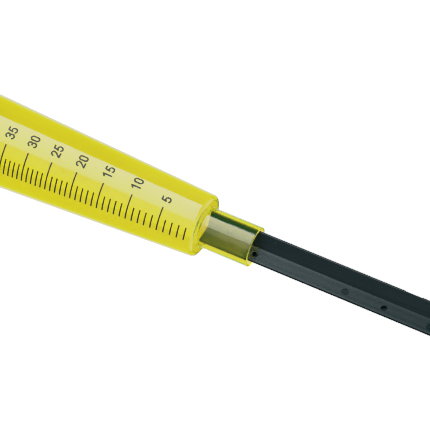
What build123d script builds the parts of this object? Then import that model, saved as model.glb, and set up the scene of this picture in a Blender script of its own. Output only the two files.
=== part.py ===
from build123d import *
from math import cos, degrees, hypot, radians, sin
import os

# A rain gauge: a clear conical measuring vessel whose socket slips over a Y-section ground stake.
# Millimetres. +Z is up along the gauge's axis, and the origin is the stake's point.
# The pitted rib of the stake lies along -X. Azimuths are in degrees, anticlockwise from +X seen from above.

# Ground stake
stake_length = 280.0
rib_reach = 8.1              # from the axis to a rib's outer edge
rib_root_thickness = 2.1     # on the axis, where the three ribs meet
rib_tip_thickness = 1.5
rib_edge_radius = 0.35
valley_radius = 0.4
point_length = 48.0
point_radius = 0.9
stake_end_chamfer = 0.25
rib_azimuths = (180.0, 300.0, 60.0)   # pitted rib, gated rib, plain rib

# Details of the stake, with depths measured down from its upper end
pit_diameter = 2.95          # round blind pits
pit_depths = (26.15, 89.75)
pit_sink = 1.3
pit_reach = 4.6              # from the axis to the pits and ejector marks
ejector_diameter = 3.6
ejector_pitch = 40.9
ejector_first = 70.9
ejector_count = 5
ejector_sink = 0.15
gate_recess_depths = (95.6, 103.7)
gate_recess_sink = 0.3
nib_depth = 16.5
nib_radius = 0.6
nib_reach = 8.35

# Measuring vessel, with heights above the plane of its narrow end
socket_recess = 0.85         # how far the socket stops short of that plane
socket_length = 25.3
socket_radius = 8.4
socket_wall = 1.1
socket_root_radius = 0.45
socket_lip_radius = 0.35
cone_radius = 14.85          # outside, at the narrow end
cone_taper = 0.05            # radius gained per height
end_edge_radius = 1.8
wall_low = 1.5
wall_high = 1.9
floor_thickness = 1.2
floor_corner_radius = 1.0
cone_height = 121.0
mouth_height = 149.0         # where the flare becomes upright
rim_height = 158.0
mouth_radius = 25.6          # inside, the collecting edge
mouth_wall = 1.5
rim_land = 0.4
rim_bevel = 1.6
rim_shoulder_radius = 0.5
bead_radius = 0.9
bead_drop = 5.0
bead_sink = 0.2              # how far the bead's centre lies inside the wall's face

# Printed scale: millimetres of rain against height, as a cone's volume grows from its apex
scale_zero = 0.67            # height of the scale's zero
scale_apex_drop = 376.8      # from that zero down to the calibrating cone's apex
scale_apex_rain = 35.68      # rain that the cone below the zero would hold
scale_top = 40
scale_step = 5
ink_thickness = 0.06
mark_width = 0.72
mark_start = 193.1           # azimuth of every mark's first end, at scale_lean_height
short_mark_arc = 23.9
long_mark_arc = 42.8
scale_lean = -0.044          # degrees of azimuth per height
scale_lean_height = 50.0

# Numerals, drawn on an upright cell and wrapped round the cone
numeral_start = 244.3        # azimuth of a numeral's first edge, at scale_lean_height
numeral_height = 4.9
numeral_width = 2.8
numeral_advance = 3.15
stroke = 0.86

vessel_z = stake_length + socket_recess


def outer_radius(height):
    return cone_radius + cone_taper * height


def inner_radius(height):
    wall = wall_low + (wall_high - wall_low) * height / cone_height
    return outer_radius(height) - wall


def mark_height(rain):
    """Height above the narrow end at which the vessel holds this much rain."""
    growth = (1 + rain / scale_apex_rain) ** (1 / 3) - 1
    return scale_zero + scale_apex_drop * growth


def lean(height):
    return scale_lean * (height - scale_lean_height)


def corner(sketch, x, y):
    """The sketch's vertex nearest to a point of its plane."""
    return min(sketch.vertices(), key=lambda v: hypot(v.X - x, v.Y - y))


# ---- ground stake ----


def rib_section(azimuth):
    half_root, half_tip = rib_root_thickness / 2, rib_tip_thickness / 2
    outline = Polyline(
        (0, -half_root),
        (rib_reach, -half_tip),
        (rib_reach, half_tip),
        (0, half_root),
        close=True,
    )
    rib = make_face(outline)
    tips = [corner(rib, rib_reach, side * half_tip) for side in (-1, 1)]
    return Rot(0, 0, azimuth) * fillet(tips, rib_edge_radius)


def stake_section():
    ribs = [rib_section(azimuth) for azimuth in rib_azimuths]
    section = ribs[0] + ribs[1] + ribs[2]
    inner = sorted(section.vertices(), key=lambda v: hypot(v.X, v.Y))[:3]
    return fillet(inner, valley_radius)


def pointed_envelope():
    """A pencil that trims the ribs to a point at the origin."""
    reach = rib_reach + 1
    slope = (rib_reach - point_radius) / point_length
    shoulder = point_length + (reach - rib_reach) / slope
    outline = Polyline(
        (0, 0),
        (point_radius, 0),
        (reach, shoulder),
        (reach, stake_length + 1),
        (0, stake_length + 1),
        close=True,
    )
    return revolve(make_face(Plane.XZ * outline), Axis.Z)


def rib_half_thickness(reach):
    return (rib_root_thickness + (rib_tip_thickness - rib_root_thickness) * reach / rib_reach) / 2


def sunk_disc(depth, diameter, sink):
    """A cylinder along Y that sinks this far into the pitted rib's face."""
    start = -rib_half_thickness(pit_reach) - 1
    place = Plane(origin=(-pit_reach, start, stake_length - depth), z_dir=(0, 1, 0))
    return place * Cylinder(diameter / 2, 1 + sink, align=(Align.CENTER, Align.CENTER, Align.MIN))


def pits():
    return [sunk_disc(depth, pit_diameter, pit_sink) for depth in pit_depths]


def ejector_marks():
    depths = [ejector_first + ejector_pitch * i for i in range(ejector_count)]
    clear = [depth for depth in depths if depth < stake_length - point_length]
    return [sunk_disc(depth, ejector_diameter, ejector_sink) for depth in clear]


def gate_recess():
    """A shallow slot in the outer edge of the gated rib."""
    top, bottom = (stake_length - depth for depth in gate_recess_depths)
    slot = Pos(rib_reach, 0, (top + bottom) / 2) * Box(2 * gate_recess_sink, 4, top - bottom)
    return Rot(0, 0, rib_azimuths[1]) * slot


def retaining_nib():
    """A small round nib on the gated rib's outer edge, which steadies the vessel."""
    centre = Pos(nib_reach - nib_radius, 0, stake_length - nib_depth)
    ball = Rot(0, 90, 0) * Sphere(nib_radius)   # its pole points out along the rib
    return Rot(0, 0, rib_azimuths[1]) * centre * ball


def ground_stake():
    stake = extrude(stake_section(), stake_length)
    upper = stake.faces().sort_by(Axis.Z)[-1]
    stake = chamfer(upper.edges(), stake_end_chamfer)
    stake = stake & pointed_envelope()
    for disc in pits() + ejector_marks():
        stake -= disc
    return stake - gate_recess() + retaining_nib()


# ---- measuring vessel ----


def vessel_outline():
    """The vessel's half section, as (radius, height)."""
    socket_outer = socket_radius + socket_wall
    rim_outer = mouth_radius + mouth_wall
    flare = mouth_height - cone_height
    pull = flare * 0.45
    outer_top, inner_top = outer_radius(cone_height), inner_radius(cone_height)
    inner_taper = (inner_top - inner_radius(0)) / cone_height
    outer_flare = Bezier(
        (outer_top, cone_height),
        (outer_top + cone_taper * pull, cone_height + pull),
        (rim_outer, mouth_height - pull),
        (rim_outer, mouth_height),
    )
    inner_flare = Bezier(
        (inner_top, cone_height),
        (inner_top + inner_taper * pull, cone_height + pull),
        (mouth_radius, mouth_height - pull),
        (mouth_radius, mouth_height),
    )
    below = Polyline(
        (inner_top, cone_height),
        (inner_radius(floor_thickness), floor_thickness),
        (0, floor_thickness),
        (0, -socket_recess),
        (socket_radius, -socket_recess),
        (socket_radius, -socket_length),
        (socket_outer, -socket_length),
        (socket_outer, 0),
        (cone_radius, 0),
        (outer_top, cone_height),
    )
    above = Polyline(
        (rim_outer, mouth_height),
        (rim_outer, rim_height - rim_bevel),
        (mouth_radius + rim_land, rim_height),
        (mouth_radius, rim_height),
        (mouth_radius, mouth_height),
    )
    return make_face([below, outer_flare, above, inner_flare])


def rounded_vessel_section():
    section = vessel_outline()
    socket_outer = socket_radius + socket_wall
    rounds = (
        (cone_radius, 0, end_edge_radius),
        (socket_outer, 0, socket_root_radius),
        (inner_radius(floor_thickness), floor_thickness, floor_corner_radius),
        (socket_radius, -socket_length, socket_lip_radius),
        (socket_outer, -socket_length, socket_lip_radius),
        (mouth_radius + mouth_wall, rim_height - rim_bevel, rim_shoulder_radius),
    )
    for radius, height, round_radius in rounds:
        section = fillet(corner(section, radius, height), round_radius)
    return section


def rim_bead():
    """A half-round bead that stiffens the mouth outside."""
    centre = (mouth_radius + mouth_wall - bead_sink, rim_height - bead_drop)
    return revolve(Plane.XZ * Pos(*centre) * Circle(bead_radius), Axis.Z)


def measuring_vessel():
    body = revolve(Plane.XZ * rounded_vessel_section(), Axis.Z)
    return Pos(0, 0, vessel_z) * (body + rim_bead())


# ---- printed scale ----


def ink_mark(rain, arc):
    """A thin line of ink that lies on the cone over an arc of azimuth."""
    middle = mark_height(rain)
    low, high = middle - mark_width / 2, middle + mark_width / 2
    outline = Polyline(
        (outer_radius(low), low),
        (outer_radius(low) + ink_thickness, low),
        (outer_radius(high) + ink_thickness, high),
        (outer_radius(high), high),
        close=True,
    )
    line = revolve(make_face(Plane.XZ * outline), Axis.Z, revolution_arc=arc)
    return Pos(0, 0, vessel_z) * Rot(0, 0, mark_start + lean(middle)) * line


def scale_marks(arc, wanted):
    rains = [rain for rain in range(1, scale_top + 1) if wanted(rain)]
    return Compound(children=[ink_mark(rain, arc) for rain in rains])


def digit_paths():
    """Centre lines of the digits in a cell of width w and height h, as lists of edges."""
    w, h = numeral_width - stroke, numeral_height - stroke
    bowl = w / 2
    neck = h * 0.57
    waist = h * 0.53
    top_bowl = (h - waist) / 2
    low_bowl = waist / 2
    five_bowl = h * 0.31
    zero = [
        ThreePointArc((w, h - bowl), (bowl, h), (0, h - bowl)),
        Line((0, h - bowl), (0, bowl)),
        ThreePointArc((0, bowl), (bowl, 0), (w, bowl)),
        Line((w, bowl), (w, h - bowl)),
    ]
    one = [
        Line((w * 0.62, 0), (w * 0.62, h)),
        Line((w * 0.62, h), (w * 0.1, h * 0.8)),
    ]
    two = [
        ThreePointArc((0, h - bowl * 1.05), (bowl, h), (w, h - bowl * 1.05)),
        Spline(
            (w, h - bowl * 1.05),
            (w * 0.72, h * 0.42),
            (0, 0),
            tangents=[(0, -1), (-0.5, -1)],
        ),
        Line((0, 0), (w, 0)),
    ]
    three_top = ThreePointArc((w * 0.02, h - top_bowl * 0.8), (bowl, h), (w * 0.95, h - top_bowl))
    three = [
        three_top,
        ThreePointArc((w * 0.95, h - top_bowl), (w * 0.78, waist + 0.12), (w * 0.42, waist)),
        ThreePointArc((w * 0.42, waist), (w * 0.85, waist - 0.2), (w, low_bowl)),
        ThreePointArc((w, low_bowl), (bowl, 0), (0, low_bowl * 0.75)),
    ]
    four = [
        Line((w * 0.72, 0), (w * 0.72, h)),
        Line((w * 0.72, h), (0, h * 0.28)),
        Line((0, h * 0.28), (w, h * 0.28)),
    ]
    five = [
        Line((w * 0.92, h), (w * 0.2, h)),
        Line((w * 0.2, h), (w * 0.05, h * 0.47)),
        ThreePointArc((w * 0.05, h * 0.47), (w * 0.6, neck + 0.1), (w, five_bowl)),
        ThreePointArc((w, five_bowl), (bowl * 0.95, 0), (0, five_bowl * 0.42)),
    ]
    return {"0": zero, "1": one, "2": two, "3": three, "4": four, "5": five}


def pen_stroke(edge):
    """The area that a round pen covers along one edge."""
    line = Sketch() + trace(edge, stroke)
    ends = [Pos(edge @ t) * Circle(stroke / 2) for t in (0, 1)]
    return line + ends


def digit_face(edges):
    face = pen_stroke(edges[0])
    for edge in edges[1:]:
        face += pen_stroke(edge)
    return face


def ink_shell(height):
    """The layer of ink around the cone at one numeral's height."""
    low, high = height - numeral_height, height + numeral_height
    outline = Polyline(
        (outer_radius(low), low),
        (outer_radius(low) + ink_thickness, low),
        (outer_radius(high) + ink_thickness, high),
        (outer_radius(high), high),
        close=True,
    )
    return revolve(make_face(Plane.XZ * outline), Axis.Z)


def ink_digit(face, height, azimuth):
    """One digit, cut out of the ink layer by a prism square to the wall."""
    out = (cos(radians(azimuth)), sin(radians(azimuth)), 0)
    along = (-out[1], out[0], 0)
    start = outer_radius(height) - 2
    place = Plane(origin=(out[0] * start, out[1] * start, height), x_dir=along, z_dir=out)
    shift = Pos(-(numeral_width - stroke) / 2, -(numeral_height - stroke) / 2)
    prism = extrude(place * shift * face, 4)
    return prism & ink_shell(height)


def scale_numerals():
    faces = {name: digit_face(edges) for name, edges in digit_paths().items()}
    digits = []
    for rain in range(scale_step, scale_top + 1, scale_step):
        height = mark_height(rain)
        for place, name in enumerate(str(rain)):
            reach = numeral_width / 2 + numeral_advance * place
            turn = degrees(reach / outer_radius(height))
            azimuth = numeral_start + lean(height) + turn
            digits.append(ink_digit(faces[name], height, azimuth))
    return Pos(0, 0, vessel_z) * Compound(children=digits)


def main():
    os.makedirs("parts", exist_ok=True)
    nodes = {
        "ground_stake": ground_stake(),
        "measuring_vessel": measuring_vessel(),
        "scale_marks_short": scale_marks(short_mark_arc, lambda rain: rain % scale_step != 0),
        "scale_marks_long": scale_marks(long_mark_arc, lambda rain: rain % scale_step == 0),
        "scale_numerals": scale_numerals(),
    }
    for name, shape in nodes.items():
        export_step(shape, f"parts/{name}.step")
        box = shape.bounding_box()
        print(name, len(shape.solids()), "solids", box.min, box.max)


main()
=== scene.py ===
from math import cos, pi, radians, sin, tan

import bpy
from mathutils import Matrix, Vector


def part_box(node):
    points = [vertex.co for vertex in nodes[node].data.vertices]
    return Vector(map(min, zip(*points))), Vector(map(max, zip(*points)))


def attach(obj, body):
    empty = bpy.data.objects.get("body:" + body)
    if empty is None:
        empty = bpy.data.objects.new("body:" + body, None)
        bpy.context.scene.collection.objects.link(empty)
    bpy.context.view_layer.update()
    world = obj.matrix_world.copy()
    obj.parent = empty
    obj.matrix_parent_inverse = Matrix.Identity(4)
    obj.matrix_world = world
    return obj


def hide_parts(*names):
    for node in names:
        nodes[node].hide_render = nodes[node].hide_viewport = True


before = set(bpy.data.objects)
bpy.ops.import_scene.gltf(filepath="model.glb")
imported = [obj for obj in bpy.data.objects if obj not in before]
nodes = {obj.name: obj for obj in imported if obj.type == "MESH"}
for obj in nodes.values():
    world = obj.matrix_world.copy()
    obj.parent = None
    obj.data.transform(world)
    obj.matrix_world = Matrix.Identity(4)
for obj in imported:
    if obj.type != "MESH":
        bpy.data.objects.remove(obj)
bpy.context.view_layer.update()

# A rain gauge, upright in its own frame, seen by a rolled camera from below its vessel's narrow end.
# Metres, in the frame of the CAD model: +Z up along the gauge's axis, the stake's point at the origin.

MM = 0.001
GLASS_SEGMENTS = 256

vessel_bottom = Vector(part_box("measuring_vessel")[0]).z
stake_point = Vector(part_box("ground_stake")[0]).z

# Vessel, in millimetres, with heights above the plane of its narrow end
socket_recess = 0.85
socket_length = 25.3
socket_radius = 8.4
socket_wall = 1.1
socket_root_radius = 0.45
socket_lip_radius = 0.35
cone_radius = 14.85
cone_taper = 0.05
end_edge_radius = 1.8
wall_low, wall_high = 1.5, 1.9
floor_thickness = 1.2
floor_corner_radius = 1.0
cone_height = 121.0
mouth_height = 149.0
rim_height = 158.0
mouth_radius = 25.6
mouth_wall = 1.5
rim_land = 0.4
rim_bevel = 1.6
rim_shoulder_radius = 0.5
bead_radius = 0.9
bead_drop = 5.0
bead_sink = 0.2
end_plane = vessel_bottom + socket_length * MM

# Painted light on the stake's pitted rib inside the socket, a pale patch, in millimetres: where it sets in
# above the vessel's bottom, and out along the rib from the axis
patch_start, patch_full = 1.0, 5.0
patch_inner, patch_outer = 0.3, 1.2


# ---- nodes of a material ----


class Material:
    """A material under construction, with short ways to add and join its nodes."""

    def __init__(self, name):
        self.material = bpy.data.materials.new(name)
        self.material.use_nodes = True
        self.tree = self.material.node_tree
        self.tree.nodes.clear()
        self.output = self.add("ShaderNodeOutputMaterial")
        self.shader = self.add("ShaderNodeBsdfPrincipled")
        self.join(self.shader, "BSDF", self.output, "Surface")
        self.place = self.add("ShaderNodeTexCoord")

    def add(self, kind, **values):
        node = self.tree.nodes.new(kind)
        for name, value in values.items():
            setattr(node, name, value)
        return node

    def join(self, source, out, target, into):
        self.tree.links.new(source.outputs[out], target.inputs[into])

    def stretched(self, scale):
        """Object coordinates scaled along each axis."""
        mapping = self.add("ShaderNodeMapping")
        mapping.inputs["Scale"].default_value = scale
        self.join(self.place, "Object", mapping, "Vector")
        return mapping

    def noise(self, size, detail=3.0, roughness=0.5, stretch=(1, 1, 1)):
        """Noise whose features are about this size, in metres."""
        node = self.add("ShaderNodeTexNoise")
        node.inputs["Scale"].default_value = 1 / size
        node.inputs["Detail"].default_value = detail
        node.inputs["Roughness"].default_value = roughness
        self.join(self.stretched(stretch), "Vector", node, "Vector")
        return node

    def ramp(self, source, out, stops):
        node = self.add("ShaderNodeValToRGB")
        elements = node.color_ramp.elements
        while len(elements) < len(stops):
            elements.new(0.5)
        for element, (position, colour) in zip(elements, stops):
            element.position = position
            element.color = (*colour, 1)
        self.join(source, out, node, "Fac")
        return node

    def spread(self, source, out, low, high):
        """A 0 to 1 value moved into low to high."""
        node = self.add("ShaderNodeMapRange")
        node.inputs["From Min"].default_value = 0.3
        node.inputs["From Max"].default_value = 0.7
        node.inputs["To Min"].default_value = low
        node.inputs["To Max"].default_value = high
        self.join(source, out, node, "Value")
        return node

    def step(self, source, out, low, high, to_low=0.0, to_high=1.0):
        """A value that climbs from to_low at low to to_high at high."""
        node = self.add("ShaderNodeMapRange")
        node.inputs["From Min"].default_value = low
        node.inputs["From Max"].default_value = high
        node.inputs["To Min"].default_value = to_low
        node.inputs["To Max"].default_value = to_high
        self.join(source, out, node, "Value")
        return node

    def bump(self, source, out, distance, strength=1.0, under=None):
        node = self.add("ShaderNodeBump")
        node.inputs["Distance"].default_value = distance
        node.inputs["Strength"].default_value = strength
        self.join(source, out, node, "Height")
        if under is not None:
            self.join(under, "Normal", node, "Normal")
        return node


def clear_yellow():
    """Polished clear polystyrene, dyed yellow. Its faint green emission is a painted glow, standing in for
    the glow of a fluorescent dye.
    """
    m = Material("clear_yellow_polystyrene")
    shader = m.shader
    shader.inputs["Transmission Weight"].default_value = 1.0
    shader.inputs["IOR"].default_value = 1.59
    # Painted glow: a faint green emission, so that dark parts seen through the vessel look green.
    shader.inputs["Emission Color"].default_value = (0.12, 1, 0.33, 1)
    shader.inputs["Emission Strength"].default_value = 0.023
    m.material.cycles.emission_sampling = "NONE"
    waves = m.noise(14 * MM, detail=1.5, stretch=(1, 1, 0.25))
    grain = m.noise(0.5 * MM, detail=4.0)
    rubbing = m.noise(3 * MM, detail=5.0, roughness=0.65, stretch=(1, 1, 0.15))
    tint = m.ramp(waves, "Fac", [(0.35, (0.88, 0.745, 0.68)), (0.65, (0.92, 0.8, 0.92))])
    m.join(tint, "Color", shader, "Base Color")
    m.join(m.spread(rubbing, "Fac", 0.015, 0.05), "Result", shader, "Roughness")
    low = m.bump(waves, "Fac", 0.02 * MM)
    fine = m.bump(grain, "Fac", 0.0006 * MM, under=low)
    m.join(fine, "Normal", shader, "Normal")
    volume = m.add("ShaderNodeVolumeAbsorption")
    volume.inputs["Color"].default_value = (0.992, 0.988, 0.04, 1)
    volume.inputs["Density"].default_value = 1150.0
    m.join(volume, "Volume", m.output, "Volume")
    return m.material


def painted_light_patch(m, streaks):
    """Painted light on the pitted rib inside the vessel's socket: how strongly a pale tone stands in for the
    light it gets there, not known wear.
    """
    split = m.add("ShaderNodeSeparateXYZ")
    m.join(m.place, "Object", split, "Vector")
    inside = m.step(split, "Z", vessel_bottom + patch_start * MM, vessel_bottom + patch_full * MM)
    on_rib = m.step(split, "X", -patch_inner * MM, -patch_outer * MM)
    both = m.add("ShaderNodeMath", operation="MULTIPLY")
    m.join(inside, "Result", both, 0)
    m.join(on_rib, "Result", both, 1)
    uneven = m.step(streaks, "Fac", 0.35, 0.65, 0.7, 1.0)
    amount = m.add("ShaderNodeMath", operation="MULTIPLY")
    m.join(both, "Value", amount, 0)
    m.join(uneven, "Result", amount, 1)
    return amount


def stake_plastic():
    """Dark moulded plastic with a fine sand, paler on its edges, with painted light as a pale patch inside
    the vessel's socket.
    """
    m = Material("dark_moulded_plastic")
    shader = m.shader
    cloud = m.noise(9 * MM, detail=4.0, roughness=0.55, stretch=(1, 1, 0.3))
    sand = m.noise(0.28 * MM, detail=4.0, roughness=0.6)
    drag = m.noise(1.2 * MM, detail=5.0, roughness=0.6, stretch=(1, 1, 0.04))
    shades = [
        (0.3, (0.001, 0.0065, 0.0085)),
        (0.55, (0.0015, 0.0085, 0.0105)),
        (0.75, (0.003, 0.0105, 0.0125)),
    ]
    colour = m.ramp(cloud, "Fac", shades)
    edges = m.add("ShaderNodeNewGeometry")
    worn = m.step(edges, "Pointiness", 0.52, 0.62, 0.0, 0.35)
    paler = m.add("ShaderNodeMix", data_type="RGBA")
    paler.inputs["B"].default_value = (0.05, 0.062, 0.062, 1)
    m.join(worn, "Result", paler, "Factor")
    m.join(colour, "Color", paler, "A")
    painted_light_mixed = m.add("ShaderNodeMix", data_type="RGBA")
    # Painted light: the pale colour of the lit rib inside the socket.
    painted_light_mixed.inputs["B"].default_value = (0.19, 0.19, 0.18, 1)
    m.join(painted_light_patch(m, drag), "Value", painted_light_mixed, "Factor")
    m.join(paler, "Result", painted_light_mixed, "A")
    m.join(painted_light_mixed, "Result", shader, "Base Color")
    m.join(m.spread(drag, "Fac", 0.24, 0.36), "Result", shader, "Roughness")
    lines = m.bump(drag, "Fac", 0.02 * MM, strength=0.5)
    m.join(m.bump(sand, "Fac", 0.012 * MM, strength=0.6, under=lines), "Normal", shader, "Normal")
    shader.inputs["IOR"].default_value = 1.42
    shader.inputs["Specular Tint"].default_value = (0.8, 0.96, 1, 1)
    return m.material


def scale_ink():
    """Screen-printed ink, dark green-black, with the print's unevenness."""
    m = Material("printed_ink")
    shader = m.shader
    blotch = m.noise(0.9 * MM, detail=4.0, roughness=0.6)
    colour = m.ramp(blotch, "Fac", [(0.3, (0.006, 0.018, 0.009)), (0.7, (0.01, 0.028, 0.015))])
    m.join(colour, "Color", shader, "Base Color")
    m.join(m.spread(blotch, "Fac", 0.4, 0.6), "Result", shader, "Roughness")
    shader.inputs["Specular IOR Level"].default_value = 0.4
    mesh = m.noise(0.12 * MM, detail=2.0)
    m.join(m.bump(mesh, "Fac", 0.006 * MM, strength=0.5), "Normal", shader, "Normal")
    return m.material


def pale_floor():
    m = Material("pale_floor")
    shader = m.shader
    cloud = m.noise(0.25, detail=2.0)
    colour = m.ramp(cloud, "Fac", [(0.3, (0.78, 0.78, 0.77)), (0.7, (0.82, 0.82, 0.81))])
    m.join(colour, "Color", shader, "Base Color")
    m.join(m.spread(cloud, "Fac", 0.75, 0.85), "Result", shader, "Roughness")
    return m.material


# ---- the vessel's shape ----


def outer_radius(height):
    return cone_radius + cone_taper * height


def inner_radius(height):
    return outer_radius(height) - wall_low - (wall_high - wall_low) * height / cone_height


def rounded(before, corner, after, radius, steps=10):
    """Points of the arc that rounds a corner between two straight runs."""
    corner = Vector(corner)
    back = (Vector(before) - corner).normalized()
    ahead = (Vector(after) - corner).normalized()
    half = back.angle(ahead) / 2
    middle = (back + ahead).normalized()
    centre = corner + middle * (radius / sin(half))
    reach = radius / tan(half)
    start = corner + back * reach - centre
    turn = start.angle_signed(corner + ahead * reach - centre)
    return [centre + Matrix.Rotation(-turn * i / steps, 2) @ start for i in range(steps + 1)]


def bezier(a, b, c, d, steps=28):
    a, b, c, d = (Vector(p) for p in (a, b, c, d))
    points = []
    for i in range(steps + 1):
        t = i / steps
        u = 1 - t
        points.append(a * u**3 + b * (3 * u * u * t) + c * (3 * u * t * t) + d * t**3)
    return points


def run(start, end, steps):
    a, b = Vector(start), Vector(end)
    return [a.lerp(b, i / steps) for i in range(steps + 1)]


def bead(centre, wall, steps=12):
    """The half-round bead outside the rim's wall."""
    points = []
    for i in range(steps + 1):
        angle = -pi / 2 + pi * i / steps
        x = centre[0] + bead_radius * cos(angle)
        points.append(Vector((max(x, wall), centre[1] + bead_radius * sin(angle))))
    return points


def vessel_profile():
    """The vessel's section as one closed line of (radius, height) runs, each smooth in itself."""
    socket_outer = socket_radius + socket_wall
    rim_outer = mouth_radius + mouth_wall
    pull = (mouth_height - cone_height) * 0.45
    outer_top, inner_top = outer_radius(cone_height), inner_radius(cone_height)
    inner_taper = (inner_top - inner_radius(0)) / cone_height
    outer_flare = bezier(
        (outer_top, cone_height),
        (outer_top + cone_taper * pull, cone_height + pull),
        (rim_outer, mouth_height - pull),
        (rim_outer, mouth_height),
    )
    inner_flare = bezier(
        (mouth_radius, mouth_height),
        (mouth_radius, mouth_height - pull),
        (inner_top + inner_taper * pull, cone_height + pull),
        (inner_top, cone_height),
    )
    axis_low, axis_high = (0, -socket_recess), (0, floor_thickness)
    ceiling = (socket_radius, -socket_recess)
    lip_in, lip_out = (socket_radius, -socket_length), (socket_outer, -socket_length)
    root = (socket_outer, 0)
    heel = (cone_radius, 0)
    shoulder = (rim_outer, rim_height - rim_bevel)
    land = (mouth_radius + rim_land, rim_height)
    edge = (mouth_radius, rim_height)
    floor = (inner_radius(floor_thickness), floor_thickness)
    bead_centre = (rim_outer - bead_sink, rim_height - bead_drop)
    return [
        run(axis_low, ceiling, 6),
        [Vector(ceiling)] + rounded(ceiling, lip_in, lip_out, socket_lip_radius),
        rounded(lip_in, lip_out, root, socket_lip_radius) + rounded(lip_out, root, heel, socket_root_radius),
        rounded(root, heel, (outer_top, cone_height), end_edge_radius, 20) + outer_flare,
        bead(bead_centre, rim_outer),
        rounded(bead_centre, shoulder, land, rim_shoulder_radius),
        [Vector(land), Vector(edge)],
        inner_flare + rounded((inner_top, cone_height), floor, axis_high, floor_corner_radius, 12),
        [Vector(axis_high)],
    ]


def flat(runs):
    points = []
    for piece in runs:
        for point in piece:
            if not points or (point - points[-1]).length > 1e-4:
                points.append(point)
    return points


def lathe(name, points, segments):
    """A solid of revolution about the row's axis. The first and last points lie on the axis."""
    vertices = [(0, 0, end_plane + points[0].y * MM)]
    for point in points[1:-1]:
        for i in range(segments):
            angle = 2 * pi * i / segments
            vertices.append((point.x * MM * cos(angle), point.x * MM * sin(angle), end_plane + point.y * MM))
    vertices.append((0, 0, end_plane + points[-1].y * MM))
    rings = len(points) - 2
    faces = []
    for i in range(segments):
        j = (i + 1) % segments
        faces.append((0, 1 + j, 1 + i))
        for ring in range(rings - 1):
            a, b = 1 + ring * segments, 1 + (ring + 1) * segments
            faces.append((a + i, a + j, b + j, b + i))
        last = 1 + (rings - 1) * segments
        faces.append((last + i, last + j, len(vertices) - 1))
    mesh = bpy.data.meshes.new(name)
    mesh.from_pydata(vertices, [], faces)
    mesh.validate()
    mesh.shade_smooth()
    mesh.set_sharp_from_angle(angle=radians(32))
    solid = bpy.data.objects.new(name, mesh)
    bpy.context.collection.objects.link(solid)
    return solid


# ---- the object ----


def paint(piece, material):
    piece.data.materials.clear()
    piece.data.materials.append(material)


def make_object():
    vessel = lathe("clear_vessel", flat(vessel_profile()), GLASS_SEGMENTS)
    paint(vessel, clear_yellow())
    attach(vessel, "vessel")
    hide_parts("measuring_vessel")
    ink = scale_ink()
    for name in ("scale_marks_short", "scale_marks_long", "scale_numerals"):
        repaint(nodes[name], ink)
    repaint(nodes["ground_stake"], stake_plastic())


def repaint(node, material):
    """Every material slot of a CAD node takes this material."""
    for slot in node.material_slots:
        slot.material = material


# ---- floor, lights and camera ----

view_azimuth = radians(233.2)
view_elevation = radians(-15.335)
view_roll = radians(-67.67)
view_distance = 0.90909
view_lens = 167.44
view_right = 4.22 * MM   # the point looked at, from the middle of the vessel's end plane
view_up = 5.31 * MM

# Levels of the world's light
backdrop_level = 1.25    # behind the object, by reflection and through the vessel
room_level = 0.04        # on the viewer's side, by reflection on the object or inside the vessel
clear_level = 0.4        # on the viewer's side, straight through the vessel
ambient_level = 1.1      # for diffuse light
picture_level = 1.8      # seen by the camera itself

# Between these heights of direction, the mirrored world fades out downward
horizon_low, horizon_high = -0.22, 0.0


def camera_axes():
    """The camera's right, up and back directions in the row frame."""
    back = Vector(
        (
            cos(view_elevation) * cos(view_azimuth),
            cos(view_elevation) * sin(view_azimuth),
            sin(view_elevation),
        )
    )
    level = Vector((0, 0, 1)).cross(back).normalized()
    upright = back.cross(level)
    right = level * cos(view_roll) + upright * sin(view_roll)
    up = upright * cos(view_roll) - level * sin(view_roll)
    return right, up, back


def add_camera():
    right, up, back = camera_axes()
    data = bpy.data.cameras.new("camera")
    data.sensor_width = 36
    data.lens = view_lens
    data.clip_start = 0.01
    camera = bpy.data.objects.new("camera", data)
    bpy.context.collection.objects.link(camera)
    target = Vector((0, 0, end_plane)) + right * view_right + up * view_up
    turn = Matrix((right, up, back)).transposed().to_4x4()
    camera.matrix_world = Matrix.Translation(target + back * view_distance) @ turn
    bpy.context.scene.camera = camera


def set_light_paths():
    """Enough bounces for the light that travels along the vessel's walls, and a narrow pixel filter."""
    cycles = bpy.context.scene.cycles
    cycles.filter_width = 1.2
    cycles.max_bounces = 64
    cycles.glossy_bounces = 48
    cycles.transmission_bounces = 48


def direction(azimuth, elevation):
    azimuth, elevation = radians(azimuth), radians(elevation)
    return Vector((cos(elevation) * cos(azimuth), cos(elevation) * sin(azimuth), sin(elevation)))


def add_softbox(name, azimuth, distance, width, low, high, radiance, fade):
    """An upright area light that faces the axis, from height low to high. fade is its brightness sideways."""
    data = bpy.data.lights.new(name, "AREA")
    data.shape = "RECTANGLE"
    data.size, data.size_y = width, high - low
    data.energy = radiance * pi * width * (high - low)
    light = bpy.data.objects.new(name, data)
    bpy.context.collection.objects.link(light)
    out = direction(azimuth, 0)
    side = Vector((0, 0, 1)).cross(out)
    turn = Matrix((side, Vector((0, 0, 1)), out)).transposed().to_4x4()
    light.matrix_world = Matrix.Translation(out * distance + Vector((0, 0, (low + high) / 2))) @ turn
    fade_light(data, fade)


def add_softboxes():
    """A broad key light, and a weak, narrower fill."""
    key_fade = [(0.0, 0.3), (0.12, 0.62), (0.6, 0.87), (1.0, 1.0)]
    fill_fade = [(0.0, 0.2), (0.4, 0.8), (1.0, 1.0)]
    add_softbox("key_softbox", 266.5, 0.9, 1.2, 0.40, 1.5, radiance=5.6, fade=key_fade)
    add_softbox("fill_softbox", 215.0, 0.9, 0.56, 0.40, 1.5, radiance=0.9, fade=fill_fade)


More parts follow.
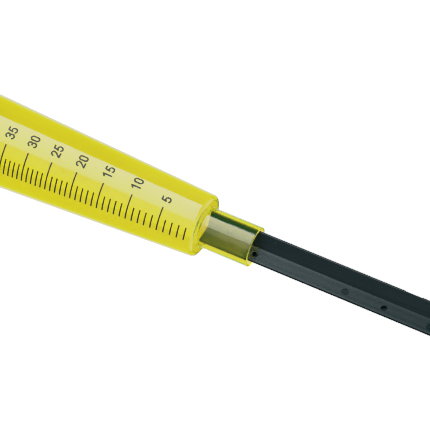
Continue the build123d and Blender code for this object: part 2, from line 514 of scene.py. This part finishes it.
def fade_light(data, stops):
    """Varies an area light's brightness across its width."""
    data.use_nodes = True
    tree = data.node_tree
    emission = tree.nodes["Emission"]
    geometry = tree.nodes.new("ShaderNodeNewGeometry")
    split = tree.nodes.new("ShaderNodeSeparateXYZ")
    ramp = tree.nodes.new("ShaderNodeValToRGB")
    elements = ramp.color_ramp.elements
    while len(elements) < len(stops):
        elements.new(0.5)
    for element, (position, level) in zip(elements, stops):
        element.position = position
        element.color = (level, level, level, 1)
    tree.links.new(geometry.outputs["Parametric"], split.inputs["Vector"])
    tree.links.new(split.outputs["X"], ramp.inputs["Fac"])
    tree.links.new(ramp.outputs["Color"], emission.inputs["Color"])


class Environment:
    """The world's light under construction, with short ways to add and join its nodes."""

    def __init__(self, name):
        self.world = bpy.data.worlds.new(name)
        self.world.use_nodes = True
        self.tree = self.world.node_tree
        self.tree.nodes.clear()
        self.background = self.tree.nodes.new("ShaderNodeBackground")
        output = self.tree.nodes.new("ShaderNodeOutputWorld")
        self.tree.links.new(self.background.outputs["Background"], output.inputs["Surface"])
        self.rays = self.tree.nodes.new("ShaderNodeLightPath").outputs
        self.toward = self.tree.nodes.new("ShaderNodeTexCoord").outputs["Generated"]

    def feed(self, value, socket):
        """Sets a number on the socket, or joins a node's output to it."""
        if isinstance(value, (int, float)):
            socket.default_value = value
        else:
            self.tree.links.new(value, socket)

    def math(self, operation, *values):
        node = self.tree.nodes.new("ShaderNodeMath")
        node.operation = operation
        for value, socket in zip(values, node.inputs):
            self.feed(value, socket)
        return node.outputs["Value"]

    def choose(self, factor, otherwise, chosen):
        """The chosen value where factor is 1, and the other where it is 0."""
        node = self.tree.nodes.new("ShaderNodeMix")
        self.feed(factor, node.inputs["Factor"])
        self.feed(otherwise, node.inputs["A"])
        self.feed(chosen, node.inputs["B"])
        return node.outputs["Result"]

    def climb(self, value, low, high, to_low, to_high, shape="LINEAR"):
        node = self.tree.nodes.new("ShaderNodeMapRange")
        node.interpolation_type = shape
        node.inputs["From Min"].default_value = low
        node.inputs["From Max"].default_value = high
        node.inputs["To Min"].default_value = to_low
        node.inputs["To Max"].default_value = to_high
        self.feed(value, node.inputs["Value"])
        return node.outputs["Result"]

    def along(self, direction):
        """How far the ray points along a direction, from -1 to 1."""
        node = self.tree.nodes.new("ShaderNodeVectorMath")
        node.operation = "DOT_PRODUCT"
        node.inputs[1].default_value = direction
        self.feed(self.toward, node.inputs[0])
        return node.outputs["Value"]


def add_world():
    """A white backdrop behind the object and a dim room on the viewer's side, both fixed in the room.

    Unlike a real studio's, the level also depends on the ray: seen directly, through the vessel,
    by reflection and as diffuse light each have their own.
    """
    studio = Environment("studio")
    backward = studio.along(-camera_axes()[2])

    def room(low, high, dim=room_level):
        """From a dim level to the backdrop's, as the ray turns from the viewer to the backdrop."""
        return studio.climb(backward, low, high, dim, backdrop_level, "SMOOTHSTEP")

    bounces = studio.math("ADD", studio.rays["Diffuse Depth"], studio.rays["Glossy Depth"])
    unbounced = studio.math("LESS_THAN", bounces, 0.5)
    bounced_once = studio.math("COMPARE", bounces, 1.0, 0.5)
    through = studio.choose(unbounced, backdrop_level, room(0.6, 0.99, clear_level))
    through = studio.choose(bounced_once, through, room(0.2, 0.7))
    above = studio.climb(studio.along((0, 0, 1)), horizon_low, horizon_high, 0.0, 1.0)
    mirrored = studio.math("MULTIPLY", room(0.7, 1.0), above)
    around = studio.choose(studio.rays["Is Diffuse Ray"], mirrored, ambient_level)
    around = studio.choose(studio.rays["Is Transmission Ray"], around, through)
    level = studio.choose(studio.rays["Is Camera Ray"], around, picture_level)
    studio.background.inputs["Color"].default_value = (1, 1, 1, 1)
    studio.feed(level, studio.background.inputs["Strength"])
    bpy.context.scene.world = studio.world


def add_floor_piece(name, half, drop, mirrored, material):
    corners = [(-half, -half, 0), (half, -half, 0), (half, half, 0), (-half, half, 0)]
    mesh = bpy.data.meshes.new(name)
    mesh.from_pydata(corners, [], [(0, 1, 2, 3)])
    floor = bpy.data.objects.new(name, mesh)
    bpy.context.collection.objects.link(floor)
    floor.location.z = stake_point - drop
    floor.visible_glossy = mirrored
    paint(floor, material)


def add_floor():
    """A pale floor. Only its middle is mirrored in the object, so that the rest doesn't grey the end face."""
    material = pale_floor()
    add_floor_piece("floor", 0.5, 0.5 * MM, True, material)
    add_floor_piece("far_floor", 3.0, 0.6 * MM, False, material)


def set_tones():
    """A print-like response: whites hold, bright colours ease off below them."""
    settings = bpy.context.scene.view_settings
    settings.view_transform = "Standard"
    settings.look = "None"
    settings.use_curve_mapping = True
    curves = settings.curve_mapping
    curves.clip_max_x = 1.6
    curves.clip_max_y = 1.0
    curve = curves.curves[3]
    stops = [(0.0, 0.0), (0.3, 0.3), (0.6, 0.57), (0.8, 0.66), (1.0, 0.71), (1.35, 0.755), (1.6, 1.0)]
    curve.points[-1].location = stops[-1]   # the last point moves before others are added in front of it
    for x, y in stops[1:-1]:
        curve.points.new(x, y)
    curves.update()


make_object()
add_floor()
add_world()
add_softboxes()
add_camera()
set_light_paths()
set_tones()
